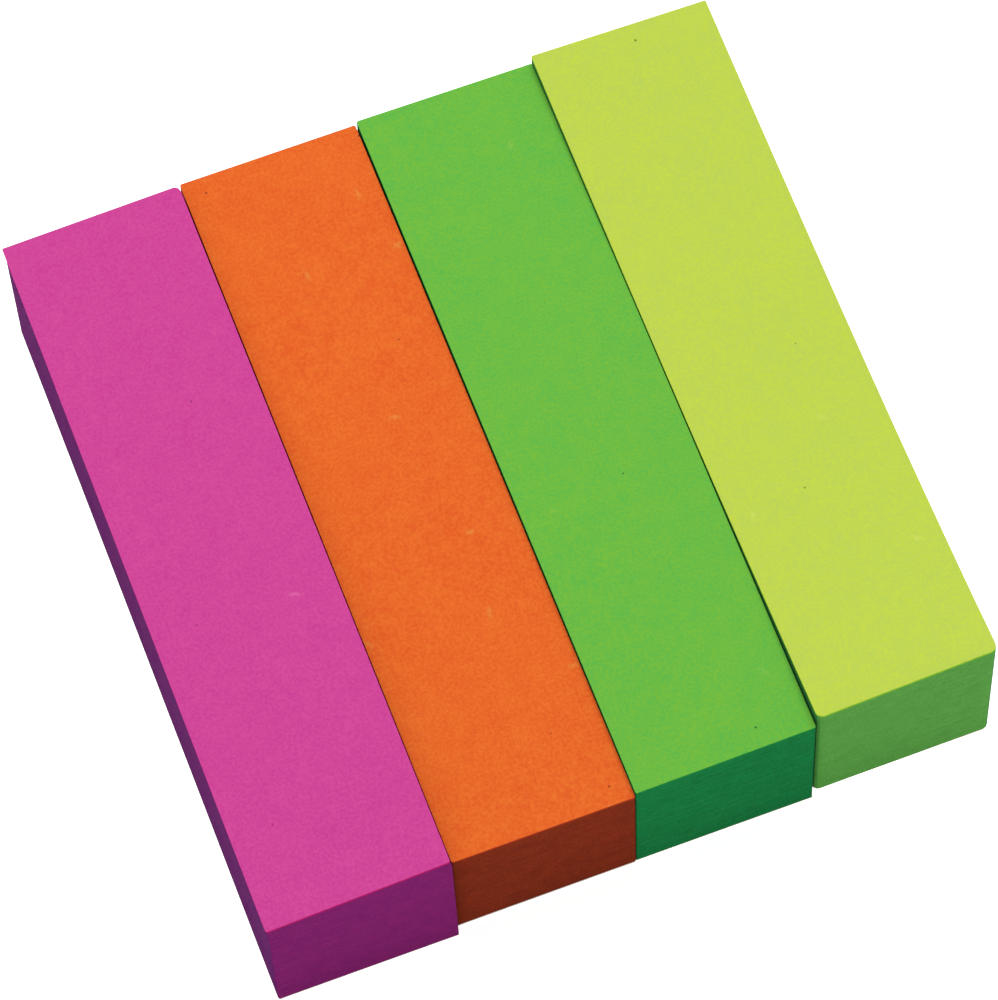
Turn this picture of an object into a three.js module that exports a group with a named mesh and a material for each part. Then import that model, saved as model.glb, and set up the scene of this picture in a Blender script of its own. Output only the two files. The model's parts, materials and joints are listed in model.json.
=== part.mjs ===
// Sticky index tabs: four pads of narrow neon paper tabs lying side by side in a row.
// Millimetres. +Z is up, +Y runs along the tabs away from the near ends, +X runs from magenta to lime.
// The origin is on the table, under the middle of the whole row.

import * as THREE from 'three';
import { mergeVertices } from 'three/addons/utils/BufferGeometryUtils.js';

// The paper tab, cut to one size for every pad
const TAB_WIDTH = 12;
const TAB_LENGTH = 50;
const LEAVES_PER_PAD = 100;

// One leaf's thickness in each pad, with its share of adhesive and air
const MAGENTA_LEAF = 0.122;
const ORANGE_LEAF = 0.111;
const GREEN_LEAF = 0.1143;
const LIME_LEAF = 0.1175;

// The guillotined edges: the joint between two leaves lies a hair inside the cut,
// and each leaf sits a hair out of line, in a direction that turns from leaf to leaf
const JOINT_DEPTH = 0.05;
const LEAF_SLIP = 0.02;
const SLIP_TURN_DEG = 137.5;

// The release backing sheet that covers the lowest leaf's adhesive
const BACKING_THICKNESS = 0.12;

// Air between the cut edges of one pad and the next, at its narrowest
const ORANGE_GAP = 0.045;
const GREEN_GAP = 0.02;
const LIME_GAP = 0.015;

// How far each pad lies back from the row's front line, and how far it is turned on the table,
// anticlockwise from above
const MAGENTA_SET_BACK = -0.52;
const ORANGE_SET_BACK = 0.08;
const GREEN_SET_BACK = 0.16;
const LIME_SET_BACK = 0.28;
const MAGENTA_TURN_DEG = 0.03;
const ORANGE_TURN_DEG = 0.06;
const GREEN_TURN_DEG = -0.02;
const LIME_TURN_DEG = -0.07;

// How far each pad's top has slid to the right of its foot. The magenta pad's topmost leaves,
// a small share of its height, have slid further.
const MAGENTA_LEAN = -0.12;
const MAGENTA_TOP_SLIDE = -0.12;
const TOP_SLIDE_SHARE = 0.08;
const ORANGE_LEAN = -0.06;
const GREEN_LEAN = -0.03;
const LIME_LEAN = 0.08;

// How much higher the right edge of the magenta pad's top stands than the left
const MAGENTA_RISE = 0.6;

// The lime pad has bowed: its near and far ends lift off the table,
// in a bend of this many straight steps, and its corners are worn round
const LIME_NEAR_LIFT = 0.82;
const LIME_FAR_LIFT = 0.44;
const LIME_BEND_STEPS = 6;
const LIME_CORNER_RADIUS = 0.4;

const BACKING_COLOR = 0xf3efe6;
const PAPER_ROUGHNESS = 0.85;
const BACKING_ROUGHNESS = 0.6;

// A pad that is straight, square and sharp, which each pad below departs from in its own way
const NEAT_PAD = {
  gapBefore: 0,
  topSlide: 0,
  rise: 0,
  nearLift: 0,
  farLift: 0,
  bendSteps: 1,
  cornerRadius: 0,
};

// The row, from left to right
const PADS = [
  {
    ...NEAT_PAD,
    name: 'magenta',
    color: 0xd44498,
    leafThickness: MAGENTA_LEAF,
    setBack: MAGENTA_SET_BACK,
    turnDeg: MAGENTA_TURN_DEG,
    lean: MAGENTA_LEAN,
    topSlide: MAGENTA_TOP_SLIDE,
    rise: MAGENTA_RISE,
  },
  {
    ...NEAT_PAD,
    name: 'orange',
    color: 0xec6828,
    leafThickness: ORANGE_LEAF,
    gapBefore: ORANGE_GAP,
    setBack: ORANGE_SET_BACK,
    turnDeg: ORANGE_TURN_DEG,
    lean: ORANGE_LEAN,
  },
  {
    ...NEAT_PAD,
    name: 'green',
    color: 0x68c044,
    leafThickness: GREEN_LEAF,
    gapBefore: GREEN_GAP,
    setBack: GREEN_SET_BACK,
    turnDeg: GREEN_TURN_DEG,
    lean: GREEN_LEAN,
  },
  {
    ...NEAT_PAD,
    name: 'lime',
    color: 0xc2dc50,
    leafThickness: LIME_LEAF,
    gapBefore: LIME_GAP,
    setBack: LIME_SET_BACK,
    turnDeg: LIME_TURN_DEG,
    lean: LIME_LEAN,
    nearLift: LIME_NEAR_LIFT,
    farLift: LIME_FAR_LIFT,
    bendSteps: LIME_BEND_STEPS,
    cornerRadius: LIME_CORNER_RADIUS,
  },
];

function padTop(pad) {
  return BACKING_THICKNESS + LEAVES_PER_PAD * pad.leafThickness;
}

// Where a point of the square, flat pad lies once the pad has leaned, slid, risen and bowed
function settle(point, pad) {
  const top = padTop(pad);
  const height = point.z / top;
  const across = point.x / (TAB_WIDTH / 2);
  const along = point.y / (TAB_LENGTH / 2);
  const loosened = Math.max(0, (height - 1) / TOP_SLIDE_SHARE + 1);
  const lift = along < 0 ? pad.nearLift : pad.farLift;
  point.x += pad.lean * height + pad.topSlide * loosened ** 2;
  point.z *= 1 + (pad.rise * across) / (2 * top);
  point.z += lift * along ** 2;
}

// Places along a side of the given length: its two ends, where its corners start to round off,
// and even steps between them
function stations(length, radius, steps) {
  const half = length / 2;
  const straight = Array.from({ length: steps + 1 }, (_, i) => (half - radius) * ((2 * i) / steps - 1));
  return radius === 0 ? straight : [-half, ...straight, half];
}

// A block with the pad's outline. Each rim in the list gives its height, how far it has slipped
// out of line and how far it is drawn in, and the skin runs from each rim to the next.
function settledBlock(pad, rims) {
  const columns = stations(TAB_WIDTH, pad.cornerRadius, 1);
  const rows = stations(TAB_LENGTH, pad.cornerRadius, pad.bendSteps);
  const block = new THREE.BoxGeometry(1, 1, 1, columns.length - 1, rows.length - 1, rims.length - 1);
  const places = block.attributes.position;
  const point = new THREE.Vector3();
  for (let i = 0; i < places.count; i += 1) {
    point.fromBufferAttribute(places, i);
    const x = columns[Math.round((point.x + 0.5) * (columns.length - 1))];
    const y = rows[Math.round((point.y + 0.5) * (rows.length - 1))];
    const rim = rims[Math.round((point.z + 0.5) * (rims.length - 1))];
    const onSide = Math.abs(x) === TAB_WIDTH / 2 ? Math.sign(x) : 0;
    const onEnd = Math.abs(y) === TAB_LENGTH / 2 ? Math.sign(y) : 0;
    const roundOff = onSide && onEnd ? pad.cornerRadius * (1 - Math.SQRT1_2) : 0;
    point.set(x - onSide * roundOff, y - onEnd * roundOff, rim.height);
    settle(point, pad);
    point.x += rim.slip.x - onSide * rim.inset;
    point.y += rim.slip.y - onEnd * rim.inset;
    places.setXYZ(i, point.x, point.y, point.z);
  }
  return closed(block);
}

// Joins the block's six faces along their shared edges, so that it is one closed skin
function closed(geometry) {
  geometry.deleteAttribute('normal');
  geometry.deleteAttribute('uv');
  const skin = mergeVertices(geometry, 1e-6);
  skin.computeVertexNormals();
  return skin;
}

// How far leaf number n lies out of line, turning by a fixed angle from each leaf to the next
function leafSlip(n) {
  const turn = n * THREE.MathUtils.degToRad(SLIP_TURN_DEG);
  return new THREE.Vector2(LEAF_SLIP * Math.cos(turn), LEAF_SLIP * Math.sin(turn));
}

// One pad of leaves: a rim round the middle of each leaf, and between two leaves a rim that is
// drawn in by the joint's depth. The foot lies square on the backing sheet.
function padOfLeaves(pad) {
  const square = new THREE.Vector2();
  const rims = [{ height: BACKING_THICKNESS, slip: square, inset: 0 }];
  for (let n = 0; n < LEAVES_PER_PAD; n += 1) {
    const slip = leafSlip(n);
    const middle = BACKING_THICKNESS + (n + 0.5) * pad.leafThickness;
    const joint = BACKING_THICKNESS + (n + 1) * pad.leafThickness;
    rims.push({ height: middle, slip, inset: 0 });
    const isTop = n === LEAVES_PER_PAD - 1;
    rims.push({ height: joint, slip, inset: isTop ? 0 : JOINT_DEPTH });
  }
  return settledBlock(pad, rims);
}

// The backing sheet, cut flush with the tabs and bowed with its pad
function backingSheet(pad) {
  const square = new THREE.Vector2();
  const table = { height: 0, slip: square, inset: 0 };
  const seat = { height: BACKING_THICKNESS, slip: square, inset: 0 };
  return settledBlock(pad, [table, seat]);
}

function paper(color, roughness) {
  return new THREE.MeshStandardMaterial({ color, roughness, metalness: 0 });
}

// How far a pad's turn swings its corners out to the side
function turnSweep(pad) {
  return (TAB_LENGTH / 2) * Math.abs(Math.sin(THREE.MathUtils.degToRad(pad.turnDeg)));
}

const row = new THREE.Group();
let middle = 0;
for (const [i, pad] of PADS.entries()) {
  if (i > 0) middle += TAB_WIDTH + 2 * LEAF_SLIP + turnSweep(PADS[i - 1]) + turnSweep(pad) + pad.gapBefore;
  const leaves = new THREE.Mesh(padOfLeaves(pad), paper(pad.color, PAPER_ROUGHNESS));
  leaves.name = `${pad.name}_tab_pad`;
  const backing = new THREE.Mesh(backingSheet(pad), paper(BACKING_COLOR, BACKING_ROUGHNESS));
  backing.name = `${pad.name}_backing_sheet`;
  const placed = new THREE.Group();
  placed.position.set(middle, pad.setBack, 0);
  placed.rotation.z = THREE.MathUtils.degToRad(pad.turnDeg);
  placed.add(leaves, backing);
  row.add(placed);
}

// The row stands on the table with its middle over the origin
const extent = new THREE.Box3().setFromObject(row, true);
const centre = extent.getCenter(new THREE.Vector3());
row.position.set(-centre.x, -centre.y, -extent.min.z);

const indexTabs = new THREE.Group();
indexTabs.add(row);
export default indexTabs;
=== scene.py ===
import json
from math import radians

import bpy
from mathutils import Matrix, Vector

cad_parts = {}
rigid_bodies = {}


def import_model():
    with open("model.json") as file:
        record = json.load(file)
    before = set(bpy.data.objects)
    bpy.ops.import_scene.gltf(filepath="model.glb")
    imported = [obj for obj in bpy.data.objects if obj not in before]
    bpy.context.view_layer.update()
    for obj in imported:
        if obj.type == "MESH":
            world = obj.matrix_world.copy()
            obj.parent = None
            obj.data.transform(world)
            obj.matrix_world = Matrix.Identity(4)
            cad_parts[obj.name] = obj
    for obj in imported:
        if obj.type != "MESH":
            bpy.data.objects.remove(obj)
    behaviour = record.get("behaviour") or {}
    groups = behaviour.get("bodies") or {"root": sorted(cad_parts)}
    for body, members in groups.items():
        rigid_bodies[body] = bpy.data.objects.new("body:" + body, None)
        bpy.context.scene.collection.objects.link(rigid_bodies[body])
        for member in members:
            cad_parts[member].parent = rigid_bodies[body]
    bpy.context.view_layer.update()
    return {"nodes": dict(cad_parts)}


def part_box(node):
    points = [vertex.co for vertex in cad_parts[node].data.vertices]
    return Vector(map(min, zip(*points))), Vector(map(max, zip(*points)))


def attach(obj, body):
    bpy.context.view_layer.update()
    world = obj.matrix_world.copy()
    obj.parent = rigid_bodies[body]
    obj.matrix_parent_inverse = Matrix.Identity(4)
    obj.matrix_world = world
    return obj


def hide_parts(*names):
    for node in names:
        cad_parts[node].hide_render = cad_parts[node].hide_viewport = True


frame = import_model()

# The view and the table
# The pads lie on a glowing white table top, which takes their shadows away. A long lens looks steeply
# down from the near left. A wide soft light hangs beyond the far ends, so the near ends lie in shade.
CAMERA_PLACE = (-0.055025, -0.168215, 0.390092)
CAMERA_TURN = (24.6297, 1.1216, -20.6368)
CAMERA_LENS = 238.96
FILM_WIDTH = 36.0
NEAREST_SEEN = 0.01
FARTHEST_SEEN = 20
TABLE_SIDE = 4.0
TABLE_DROP = 0.00002
TABLE_COLOUR = (0.93, 0.93, 0.93, 1)
TABLE_ROUGHNESS = 0.9
TABLE_GLOSS = 0.1
TABLE_GLOW = 0.8
ROOM_LIGHT = 0.35

bpy.ops.object.select_all(action="DESELECT")
bpy.ops.object.camera_add(location=CAMERA_PLACE, rotation=[radians(turn) for turn in CAMERA_TURN])
camera = bpy.context.object
camera.data.sensor_fit = "HORIZONTAL"
camera.data.sensor_width = FILM_WIDTH
camera.data.lens = CAMERA_LENS
camera.data.clip_start = NEAREST_SEEN
camera.data.clip_end = FARTHEST_SEEN
bpy.context.scene.camera = camera
bpy.context.scene.view_settings.view_transform = "Standard"

bpy.ops.mesh.primitive_plane_add(size=TABLE_SIDE, location=(0, 0, -TABLE_DROP))
table = bpy.context.object
table.name = "table_top"
table_acrylic = bpy.data.materials.new("table_acrylic")
table_acrylic.use_nodes = True
table_skin = table_acrylic.node_tree.nodes["Principled BSDF"]
table_skin.inputs["Base Color"].default_value = TABLE_COLOUR
table_skin.inputs["Roughness"].default_value = TABLE_ROUGHNESS
table_skin.inputs["Specular IOR Level"].default_value = TABLE_GLOSS
table_skin.inputs["Emission Color"].default_value = TABLE_COLOUR
table_skin.inputs["Emission Strength"].default_value = TABLE_GLOW
table.data.materials.append(table_acrylic)


def hang_softbox(name, place, turn, side, power):
    bpy.ops.object.light_add(type="AREA", location=place, rotation=[radians(a) for a in turn])
    softbox = bpy.context.object
    softbox.name = name
    softbox.data.shape = "SQUARE"
    softbox.data.size = side
    softbox.data.energy = power


hang_softbox("far_softbox", place=(0.12, 0.55, 1.0), turn=(-28, 6.5, 0), side=0.9, power=13.3)
hang_softbox("near_fill", place=(-0.5, -0.6, 0.9), turn=(40, -28, 0), side=0.8, power=1.5)

room = bpy.data.worlds.new("room")
room.use_nodes = True
room_light = room.node_tree.nodes["Background"]
room_light.inputs["Color"].default_value = (1, 1, 1, 1)
room_light.inputs["Strength"].default_value = ROOM_LIGHT
bpy.context.scene.world = room

# The magenta pad
# A pad is a hundred leaves of neon paper, each stuck to the next by a band of weak adhesive on its
# back and all cut through at once, so their edges line up but for a hair and show as fine lines. This
# is the thickest pad, a little ahead of the others, and its top has slid a hair to the left.
TAB_WIDTH = 0.012
TAB_LENGTH = 0.050
LEAVES = 100
LEAF = 0.000114
STACK = LEAVES * LEAF
JOINT_DEPTH = 0.000008
JOINT_HEIGHT = 0.12 * LEAF
WIDTH_STEPS = 12
LENGTH_STEPS = 50
CORNER_STEPS = 3
CORNER_ZONE = 0.49
NEAT_CORNERS = (0.00012, 0.00012, 0.00012, 0.00012)
FLAT = 0.985
WELD = 0.000001


def point_out(piece, kind, test):
    """Selects only the points or faces of a piece that pass the test, and opens it for editing."""
    bpy.ops.object.mode_set(mode="OBJECT")
    bpy.ops.object.select_all(action="DESELECT")
    piece.select_set(True)
    bpy.context.view_layer.objects.active = piece
    bpy.ops.object.mode_set(mode="EDIT")
    bpy.ops.mesh.select_mode(type=kind)
    bpy.ops.mesh.select_all(action="DESELECT")
    bpy.ops.object.mode_set(mode="OBJECT")
    parts = {"VERT": piece.data.vertices, "FACE": piece.data.polygons}[kind]
    for part in parts:
        part.select = test(part)
    bpy.ops.object.mode_set(mode="EDIT")


def lift_off(piece, test):
    """Takes the faces that pass the test off a piece, as a new piece."""
    point_out(piece, "FACE", test)
    before = set(bpy.data.objects)
    bpy.ops.mesh.separate(type="SELECTED")
    bpy.ops.object.mode_set(mode="OBJECT")
    return (set(bpy.data.objects) - before).pop()


def finish_modifier(piece, modifier):
    bpy.ops.object.select_all(action="DESELECT")
    piece.select_set(True)
    bpy.context.view_layer.objects.active = piece
    bpy.ops.object.modifier_apply(modifier=modifier.name)


def cut_leaf(name, width, radii):
    """One leaf, square to the table, with its cut edge drawn in above and below."""
    bpy.ops.object.select_all(action="DESELECT")
    bpy.ops.mesh.primitive_grid_add(x_subdivisions=WIDTH_STEPS, y_subdivisions=LENGTH_STEPS, size=1)
    leaf = bpy.context.object
    leaf.name = name
    leaf.scale = (width - 2 * JOINT_DEPTH, TAB_LENGTH - 2 * JOINT_DEPTH, 1)
    bpy.ops.object.transform_apply(location=False, rotation=False, scale=True)
    corner_x = CORNER_ZONE * width
    corner_y = CORNER_ZONE * TAB_LENGTH
    for (side, end), radius in zip(((-1, -1), (1, -1), (-1, 1), (1, 1)), radii):
        point_out(leaf, "VERT", lambda v: v.co.x * side > corner_x and v.co.y * end > corner_y)
        bpy.ops.mesh.bevel(offset=radius, segments=CORNER_STEPS, affect="VERTICES")
    swell = (width / (width - 2 * JOINT_DEPTH), TAB_LENGTH / (TAB_LENGTH - 2 * JOINT_DEPTH), 1)
    shrink = (1 / swell[0], 1 / swell[1], 1)
    bpy.ops.mesh.select_all(action="SELECT")
    bpy.ops.mesh.extrude_region_move(TRANSFORM_OT_translate={"value": (0, 0, JOINT_HEIGHT)})
    bpy.ops.transform.resize(value=swell, center_override=(0, 0, 0))
    bpy.ops.mesh.extrude_region_move(TRANSFORM_OT_translate={"value": (0, 0, LEAF - 2 * JOINT_HEIGHT)})
    bpy.ops.mesh.extrude_region_move(TRANSFORM_OT_translate={"value": (0, 0, JOINT_HEIGHT)})
    bpy.ops.transform.resize(value=shrink, center_override=(0, 0, 0))
    bpy.ops.mesh.select_all(action="SELECT")
    bpy.ops.mesh.normals_make_consistent(inside=False)
    return leaf


def cut_stack(name, width, radii):
    """One pad of leaves, square and flat, with its foot at the origin. The radii are those of the near
    left, near right, far left and far right corners."""
    leaf = cut_leaf(name, width, radii)
    face = lift_off(leaf, lambda f: f.normal.z > FLAT)
    foot = lift_off(leaf, lambda f: f.normal.z < -FLAT)
    pile = leaf.modifiers.new("pile", "ARRAY")
    pile.count = LEAVES
    pile.use_relative_offset = False
    pile.use_constant_offset = True
    pile.constant_offset_displace = (0, 0, LEAF)
    pile.use_merge_vertices = True
    pile.merge_threshold = WELD
    finish_modifier(leaf, pile)
    face.location.z = (LEAVES - 1) * LEAF
    bpy.ops.object.select_all(action="DESELECT")
    for piece in (face, foot, leaf):
        piece.select_set(True)
    bpy.context.view_layer.objects.active = leaf
    bpy.ops.object.transform_apply(location=True, rotation=False, scale=False)
    bpy.ops.object.join()
    bpy.ops.object.mode_set(mode="EDIT")
    bpy.ops.mesh.select_all(action="SELECT")
    bpy.ops.mesh.remove_doubles(threshold=WELD)
    bpy.ops.mesh.normals_make_consistent(inside=False)
    bpy.ops.uv.cube_project(cube_size=1, correct_aspect=False, scale_to_bounds=False)
    bpy.ops.object.mode_set(mode="OBJECT")
    return leaf


CUT_WANDER = 0.00001
CUT_WANDER_LENGTH = 0.007
CUT_WANDER_HEIGHT = 1.6 * LEAF


def wander(pad, direction, seed):
    """Shifts the cut edges a little, leaf by leaf, along one direction."""
    bpy.ops.object.empty_add(location=(seed, 2 * seed, 3 * seed))
    guide = bpy.context.object
    guide.scale = (CUT_WANDER_LENGTH, CUT_WANDER_LENGTH, CUT_WANDER_HEIGHT)
    bpy.context.view_layer.update()
    drift = bpy.data.textures.new("cut_drift", type="CLOUDS")
    drift.noise_scale = 1
    drift.noise_depth = 1
    displace = pad.modifiers.new("cut_drift", "DISPLACE")
    displace.texture = drift
    displace.texture_coords = "OBJECT"
    displace.texture_coords_object = guide
    displace.direction = direction
    displace.mid_level = 0.5
    displace.strength = CUT_WANDER
    finish_modifier(pad, displace)
    bpy.data.objects.remove(guide)
    bpy.data.textures.remove(drift)


BACKING = 0.00012
BOW_POINTS = 13
SLIDE_POINTS = 14
TOP_SLIDE_SHARE = 0.08
HALF_CAGE = Vector((0.5, 0.5, 0.5))
CREASE = 30
FOUR_EVEN = (0, 0, 0, 0)


def between(corners, across, along):
    """A value between those of the near left, near right, far left and far right corners."""
    near = corners[0] + (corners[1] - corners[0]) * across
    far = corners[2] + (corners[3] - corners[2]) * across
    return near + (far - near) * along


def bend_to(pad, tops, leans, feet, top_slide, middle, lifts, taper):
    """Bends a straight stack to its pad's shape, in a cage that follows the pad's corners and middle."""
    bpy.ops.object.add(type="LATTICE", location=(0, 0, STACK / 2))
    cage = bpy.context.object
    cage.scale = (TAB_WIDTH, TAB_LENGTH, STACK)
    cage.data.points_u = 2
    cage.data.points_v = BOW_POINTS
    cage.data.points_w = SLIDE_POINTS
    cage.data.interpolation_type_u = "KEY_LINEAR"
    cage.data.interpolation_type_v = "KEY_CATMULL_ROM"
    cage.data.interpolation_type_w = "KEY_LINEAR"
    for point in cage.data.points:
        across, along, level = point.co + HALF_CAGE
        bow = (2 * along - 1) ** 2
        end = 0 if along < 0.5 else 1
        lift = bow * between(lifts, across, end)
        if middle is None:
            top = between(tops, across, along)
        else:
            top = middle + bow * (between(tops, across, end) - middle)
        loosened = max(0, (level - 1) / TOP_SLIDE_SHARE + 1)
        slip = between(leans, across, along) * level + between(feet, across, along) * (1 - level)
        point.co_deform.x += (slip + top_slide * loosened ** 2) / TAB_WIDTH
        point.co_deform.y *= 1 - taper * across * level
        point.co_deform.z = (lift + (top - BACKING - lift) * level) / STACK - HALF_CAGE.z
    bend = pad.modifiers.new("settle", "LATTICE")
    bend.object = cage
    finish_modifier(pad, bend)
    bpy.data.objects.remove(cage)


def settle(
    pad,
    backing,
    seed,
    turn,
    nudge,
    tops,
    leans,
    feet=FOUR_EVEN,
    top_slide=0,
    middle=None,
    lifts=FOUR_EVEN,
    taper=0,
):
    """Lets a cut stack settle into its pad's shape and sets it on its backing sheet.

    Tops and lifts are the heights of the top's and of the foot's four corners: near left, near right,
    far left and far right. Leans and feet are how far those corners have slipped to the right. A pad
    that has bowed is lowest in its middle, where its top has a height of its own. The top slide is how
    much further to the right the topmost leaves lie. The taper is how much shorter the top's right edge
    is than its left, as a share."""
    wander(pad, "X", seed)
    wander(pad, "Y", seed + 1)
    bend_to(pad, tops, leans, feet, top_slide, middle, lifts, taper)
    foot_low, foot_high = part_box(backing)
    centre = (foot_low + foot_high) / 2
    pad.rotation_euler.z = radians(turn)
    pad.location = (centre.x + nudge[0], centre.y + nudge[1], BACKING)
    bpy.ops.object.select_all(action="DESELECT")
    pad.select_set(True)
    bpy.context.view_layer.objects.active = pad
    bpy.ops.object.transform_apply(location=True, rotation=True, scale=True)
    bpy.ops.object.shade_smooth_by_angle(angle=radians(CREASE))


magenta = cut_stack("magenta_leaves", width=0.01203, radii=(0.00012, 0.00012, 0.00008, 0.0004))
settle(
    magenta,
    backing="magenta_backing_sheet",
    seed=1,
    turn=-0.059,
    nudge=(-0.000015, 0),
    tops=(0.01202, 0.0128, 0.01215, 0.01257),
    leans=(-0.0001, -0.00007, -0.0001, -0.0001),
    feet=(0, 0.00007, 0, 0),
    top_slide=-0.00012,
)


def screen_colour(red, green, blue):
    """A colour read off a screen, from 0 to 255, as the light that the paper sends back."""
    return tuple(((c / 255 + 0.055) / 1.055) ** 2.4 for c in (red, green, blue)) + (1,)


def new_paper(name, roughness, gloss):
    paper = bpy.data.materials.new(name)
    paper.use_nodes = True
    skin = paper.node_tree.nodes["Principled BSDF"]
    skin.inputs["Roughness"].default_value = roughness
    skin.inputs["Specular IOR Level"].default_value = gloss
    return paper, skin


def put(paper, kind, feeds, **settings):
    """Adds a node to a paper, sets it and feeds its sockets with values or with other nodes' outputs."""
    node = paper.node_tree.nodes.new(kind)
    for setting, value in settings.items():
        setattr(node, setting, value)
    for socket, feed in feeds.items():
        if isinstance(feed, bpy.types.NodeSocket):
            paper.node_tree.links.new(feed, node.inputs[socket])
        else:
            node.inputs[socket].default_value = feed
    return node


def reckon(paper, operation, first, second):
    return put(paper, "ShaderNodeMath", {0: first, 1: second}, operation=operation).outputs[0]


def reckon_places(paper, operation, first, second):
    return put(paper, "ShaderNodeVectorMath", {0: first, 1: second}, operation=operation).outputs[0]


def reach_of(paper, way):
    return put(paper, "ShaderNodeVectorMath", {0: way}, operation="LENGTH").outputs["Value"]


def grade(paper, level, start, end, low, high):
    """Turns a level between start and end into one between low and high."""
    feeds = {"Value": level, "From Min": start, "From Max": end, "To Min": low, "To Max": high}
    return put(paper, "ShaderNodeMapRange", feeds, interpolation_type="SMOOTHSTEP").outputs["Result"]


CLOUD_DETAIL = 3
CLOUD_ROUGHNESS = 0.6
CLOUD_CLEAR = 0.3
CLOUD_FULL = 0.7


def clouds(paper, place, scale, amount):
    """Soft irregular clouds, from none to the given amount."""
    feeds = {"Vector": place, "Scale": scale, "Detail": CLOUD_DETAIL, "Roughness": CLOUD_ROUGHNESS}
    noise = put(paper, "ShaderNodeTexNoise", feeds)
    return grade(paper, noise.outputs["Fac"], CLOUD_CLEAR, CLOUD_FULL, 0, amount)


def blend(paper, share, first, second):
    return put(paper, "ShaderNodeMix", {0: share, 6: first, 7: second}, data_type="RGBA").outputs[2]


RELIEF_DEPTH = 0.00001


def finish_paper(paper, skin, tone, relief, strength):
    """Gives a paper its colour and the slight relief of its fibres."""
    paper.node_tree.links.new(tone, skin.inputs["Base Color"])
    bump = put(paper, "ShaderNodeBump", {"Height": relief, "Strength": strength, "Distance": RELIEF_DEPTH})
    paper.node_tree.links.new(bump.outputs["Normal"], skin.inputs["Normal"])


def scatter(paper, place, seed, scale):
    """Cells of a scattered pattern: the way from each cell's seat, and two chances drawn for the cell."""
    feeds = {0: place, 1: (1, 1, 0), 2: (seed, seed, 0)}
    moved = put(paper, "ShaderNodeVectorMath", feeds, operation="MULTIPLY_ADD").outputs[0]
    cells = put(paper, "ShaderNodeTexVoronoi", {"Vector": moved, "Scale": scale}, voronoi_dimensions="2D")
    from_seat = reckon_places(paper, "SUBTRACT", moved, cells.outputs["Position"])
    chance = put(paper, "ShaderNodeSeparateColor", {"Color": cells.outputs["Color"]})
    return from_seat, chance.outputs[0], chance.outputs[1]


TUFT_SCALE = 200
TUFT_LENGTH = 0.0006
TUFT_WIDTH = 0.00022
TUFT_STRENGTH = 0.4
FRAY = 3 * TUFT_WIDTH
FRAY_SCALE = 3000
FRAY_DETAIL = 2


def tufts(paper, place, seed, share):
    """Ragged pale tufts of stray fibre, each at its own angle."""
    noise = put(paper, "ShaderNodeTexNoise", {"Vector": place, "Scale": FRAY_SCALE, "Detail": FRAY_DETAIL})
    fray = reckon_places(paper, "MULTIPLY", noise.outputs["Color"], (FRAY, FRAY, 0))
    frayed = reckon_places(paper, "ADD", place, fray)
    from_seat, chance, luck = scatter(paper, frayed, seed, TUFT_SCALE)
    feeds = {"Vector": from_seat, "Angle": reckon(paper, "MULTIPLY", chance, radians(360))}
    turned = put(paper, "ShaderNodeVectorRotate", feeds, rotation_type="Z_AXIS").outputs[0]
    drawn = reckon_places(paper, "MULTIPLY", turned, (1 / TUFT_LENGTH, 1 / TUFT_WIDTH, 0))
    inside = grade(paper, reach_of(paper, drawn), 1, 0, 0, TUFT_STRENGTH)
    return reckon(paper, "MULTIPLY", inside, reckon(paper, "LESS_THAN", luck, share))


SPECK_SCALE = 210
SPECK_RADIUS = 0.00009
SPECK_LEAST = 0.4
SPECK_CORE = 0.4
SPECK_STRENGTH = 0.8


def specks(paper, place, seed, share):
    """Round specks of unbleached pulp."""
    from_seat, chance, luck = scatter(paper, place, seed, SPECK_SCALE)
    size = reckon(paper, "MULTIPLY", reckon(paper, "ADD", chance, SPECK_LEAST), SPECK_RADIUS)
    reach = reckon(paper, "DIVIDE", reach_of(paper, from_seat), size)
    inside = grade(paper, reach, 1, SPECK_CORE, 0, SPECK_STRENGTH)
    return reckon(paper, "MULTIPLY", inside, reckon(paper, "LESS_THAN", luck, share))


GRAIN_SCALE = 5200
MOTTLE_SCALE = 900
CLOUD_SCALE = 170
GRAIN = 0.6
FACE_MOTTLE = 0.2
FACE_CLOUDS = 0.12


def neon_face(name, colour, other, tuft, speck, seed, tuft_share, speck_share):
    """The written side of a leaf: a soft matt felt of two close tones, with faint clouds, a few pale
    tufts of fibre and a few specks."""
    paper, skin = new_paper(name, roughness=0.82, gloss=0.22)
    place = put(paper, "ShaderNodeTexCoord", {}).outputs["Object"]
    grain = clouds(paper, place, GRAIN_SCALE, GRAIN)
    mottle = clouds(paper, place, MOTTLE_SCALE, FACE_MOTTLE)
    felt = reckon(paper, "ADD", grain, mottle)
    uneven = reckon(paper, "ADD", felt, clouds(paper, place, CLOUD_SCALE, FACE_CLOUDS))
    tone = blend(paper, uneven, colour, other)
    tone = blend(paper, tufts(paper, place, seed, tuft_share), tone, tuft)
    tone = blend(paper, specks(paper, place, seed, speck_share), tone, speck)
    finish_paper(paper, skin, tone, felt, strength=0.35)
    return paper


EDGE_MOTTLE = 0.3
LEAF_TONES = 0.05
# On the wrap of a stack's cut sides, one half is the height of the stack's middle
WRAP_FOOT = 0.5 - STACK / 2
WRAP_TOP = 0.5 + STACK / 2
# The painted highlight along the top of the cut edge lies between these two heights of the wrap
LIP_HIGHLIGHT_FOOT = WRAP_TOP - 2.2 * LEAF
LIP_HIGHLIGHT_TOP = WRAP_TOP - 0.7 * LEAF


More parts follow.
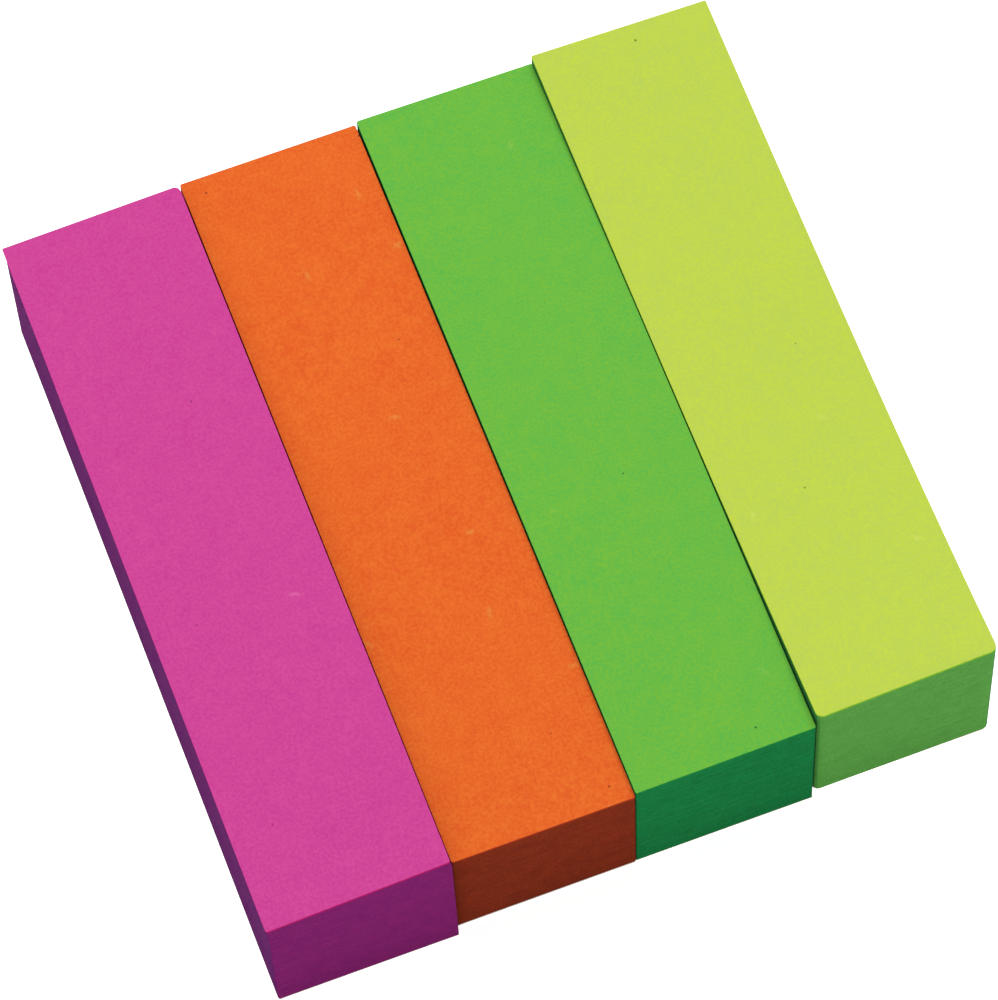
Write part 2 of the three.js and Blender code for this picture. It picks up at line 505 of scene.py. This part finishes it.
def neon_edge(name, colour, other, lip_highlight, seed):
    """The cut edges of the leaves, which are dyed through, a tone apart from leaf to leaf. Their colours
    are deeper than the face's, partly the paper's own deeper colour and partly painted shade. A painted
    highlight along the top of the edge stands for the light that the topmost leaves catch."""
    paper, skin = new_paper(name, roughness=0.9, gloss=0.04)
    wrap = put(paper, "ShaderNodeUVMap", {}, uv_map="UVMap").outputs["UV"]
    place = put(paper, "ShaderNodeTexCoord", {}).outputs["Object"]
    level = put(paper, "ShaderNodeSeparateXYZ", {0: wrap}).outputs[1]
    height = reckon(paper, "SUBTRACT", level, WRAP_FOOT)
    leaf = reckon(paper, "FLOOR", reckon(paper, "DIVIDE", height, LEAF), 0)
    feeds = {"W": reckon(paper, "ADD", leaf, seed)}
    tone = put(paper, "ShaderNodeTexWhiteNoise", feeds, noise_dimensions="1D")
    leafy = reckon(paper, "MULTIPLY", tone.outputs["Value"], LEAF_TONES)
    grain = clouds(paper, place, GRAIN_SCALE, GRAIN)
    uneven = reckon(paper, "ADD", grain, clouds(paper, place, MOTTLE_SCALE, EDGE_MOTTLE))
    body = blend(paper, reckon(paper, "ADD", leafy, uneven), colour, other)
    # Painted highlight along the top of the cut edge
    body = blend(paper, grade(paper, level, LIP_HIGHLIGHT_FOOT, LIP_HIGHLIGHT_TOP, 0, 1), body, lip_highlight)
    finish_paper(paper, skin, body, uneven, strength=0.3)
    return paper


def dress(pad, face, end, side):
    """Gives the top and the foot of a pad the face of the paper, its two ends the edges cut across the
    grain, and its long sides those cut along it, in a darker copy of the edge paper that is painted shade."""
    pad.data.materials.clear()
    for paper in (face, end, side):
        pad.data.materials.append(paper)
    for part in pad.data.polygons:
        if abs(part.normal.z) > FLAT:
            part.material_index = 0
        else:
            # The long sides take the darker copy of the edge paper, which is painted shade
            part.material_index = 1 if abs(part.normal.y) > abs(part.normal.x) else 2


magenta_face = neon_face(
    "magenta_face",
    colour=screen_colour(201, 69, 145),
    other=screen_colour(188, 48, 137),
    tuft=screen_colour(222, 120, 170),
    speck=screen_colour(120, 20, 80),
    seed=1,
    tuft_share=0.06,
    speck_share=0.1,
)
# The lip colour is a painted highlight along the top of the cut edge. The end colours are the paper's
# deeper cut-edge colour with some painted shade, and the side colours are darker still: painted shade for
# the long sides.
magenta_lip_highlight = screen_colour(186, 18, 98)
magenta_end = neon_edge("magenta_end", screen_colour(131, 27, 103), screen_colour(107, 19, 94), magenta_lip_highlight, seed=1)
magenta_shaded_side = neon_edge("magenta_shaded_side", screen_colour(98, 6, 93), screen_colour(78, 4, 84), magenta_lip_highlight, seed=1)
dress(magenta, magenta_face, magenta_end, magenta_shaded_side)
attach(magenta, "root")
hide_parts("magenta_tab_pad")

# The orange pad
# The thinnest stack of leaves, cut and stuck as the magenta one. Its paper shows the most tufts of
# stray fibre.
orange = cut_stack("orange_leaves", width=0.01211, radii=NEAT_CORNERS)
settle(
    orange,
    backing="orange_backing_sheet",
    seed=5,
    turn=0.06,
    nudge=(0.000014, 0.00003),
    tops=(0.01088, 0.01085, 0.0114, 0.01135),
    leans=(-0.00006, -0.00005, -0.00003, -0.0001),
    feet=(-0.00001, 0, 0, -0.00003),
)
orange_face = neon_face(
    "orange_face",
    colour=screen_colour(224, 110, 33),
    other=screen_colour(213, 76, 17),
    tuft=screen_colour(214, 150, 70),
    speck=screen_colour(100, 16, 8),
    seed=3,
    tuft_share=0.3,
    speck_share=0.14,
)
# The lip colour is a painted highlight along the top of the cut edge. The end colours are the paper's
# deeper cut-edge colour with some painted shade, and the side colours are darker still: painted shade for
# the long sides.
orange_lip_highlight = screen_colour(180, 60, 22)
orange_end = neon_edge("orange_end", screen_colour(132, 45, 14), screen_colour(106, 32, 11), orange_lip_highlight, seed=2)
orange_shaded_side = neon_edge("orange_shaded_side", screen_colour(112, 34, 11), screen_colour(89, 23, 8), orange_lip_highlight, seed=2)
dress(orange, orange_face, orange_end, orange_shaded_side)
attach(orange, "root")
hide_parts("orange_tab_pad")

# The green pad
# A stack of leaves that lies flat between the orange and the lime pad. Its near end has been pressed
# a little to the left, which opens a gap to the lime pad.
green = cut_stack("green_leaves", width=0.0121, radii=NEAT_CORNERS)
settle(
    green,
    backing="green_backing_sheet",
    seed=9,
    turn=0.02,
    nudge=(0.00004, -0.00001),
    tops=(0.01131, 0.0116, 0.0117, 0.01146),
    leans=(-0.00003, -0.00015, -0.00003, -0.00003),
    feet=(0, -0.00012, 0, 0),
)
green_face = neon_face(
    "green_face",
    colour=screen_colour(113, 177, 50),
    other=screen_colour(78, 171, 65),
    tuft=screen_colour(140, 186, 70),
    speck=screen_colour(10, 70, 40),
    seed=5,
    tuft_share=0.1,
    speck_share=0.16,
)
# The lip colour is a painted highlight along the top of the cut edge. The end colours are the paper's
# deeper cut-edge colour with some painted shade, and the side colours are darker still: painted shade for
# the long sides and the seams beside them.
green_lip_highlight = screen_colour(26, 136, 56)
green_end = neon_edge("green_end", screen_colour(14, 122, 63), screen_colour(10, 104, 48), green_lip_highlight, seed=3)
green_shaded_side = neon_edge("green_shaded_side", screen_colour(9, 95, 53), screen_colour(6, 80, 40), green_lip_highlight, seed=3)
dress(green, green_face, green_end, green_shaded_side)
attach(green, "root")
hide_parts("green_tab_pad")

# The lime pad
# A stack of leaves that has dried out and bowed, so both its ends curl up off the table and stand
# above the green pad. Its near corners are worn round.
lime = cut_stack("lime_leaves", width=0.01197, radii=(0.00042, 0.00042, 0.0001, 0.0001))
settle(
    lime,
    backing="lime_backing_sheet",
    seed=13,
    turn=0,
    nudge=(-0.000015, -0.00002),
    tops=(0.01267, 0.01302, 0.01226, 0.0121),
    leans=(-0.00003, 0.00007, -0.00003, 0.00007),
    middle=0.01165,
    lifts=(0.0007, 0.0009, 0.00044, 0.00044),
    taper=0.0064,
)
lime_face = neon_face(
    "lime_face",
    colour=screen_colour(186, 204, 59),
    other=screen_colour(170, 194, 83),
    tuft=screen_colour(200, 210, 100),
    speck=screen_colour(80, 120, 24),
    seed=7,
    tuft_share=0.08,
    speck_share=0.12,
)
# The lip colour is a painted highlight along the top of the cut edge. The end colours are the paper's
# deeper cut-edge colour with some painted shade, and the side colours are darker still: painted shade for
# the long sides.
lime_lip_highlight = screen_colour(136, 190, 40)
lime_end = neon_edge("lime_end", screen_colour(90, 156, 69), screen_colour(75, 139, 56), lime_lip_highlight, seed=4)
lime_shaded_side = neon_edge("lime_shaded_side", screen_colour(60, 131, 74), screen_colour(49, 117, 60), lime_lip_highlight, seed=4)
dress(lime, lime_face, lime_end, lime_shaded_side)
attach(lime, "root")
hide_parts("lime_tab_pad")

# The backing sheets
# A sheet of off-white release paper covers the adhesive of each pad's lowest leaf. It is calendered
# smooth, so it has a slight sheen, and it is cut through together with its pad.
release, release_skin = new_paper("release_paper", roughness=0.5, gloss=0.4)
release_place = put(release, "ShaderNodeTexCoord", {}).outputs["Object"]
pulp = clouds(release, release_place, GRAIN_SCALE, 1)
release_tone = blend(release, pulp, screen_colour(246, 243, 235), screen_colour(236, 231, 219))
finish_paper(release, release_skin, release_tone, pulp, strength=0.2)
for colour in ("magenta", "orange", "green", "lime"):
    sheet = frame["nodes"][colour + "_backing_sheet"]
    sheet.data.materials.clear()
    sheet.data.materials.append(release)
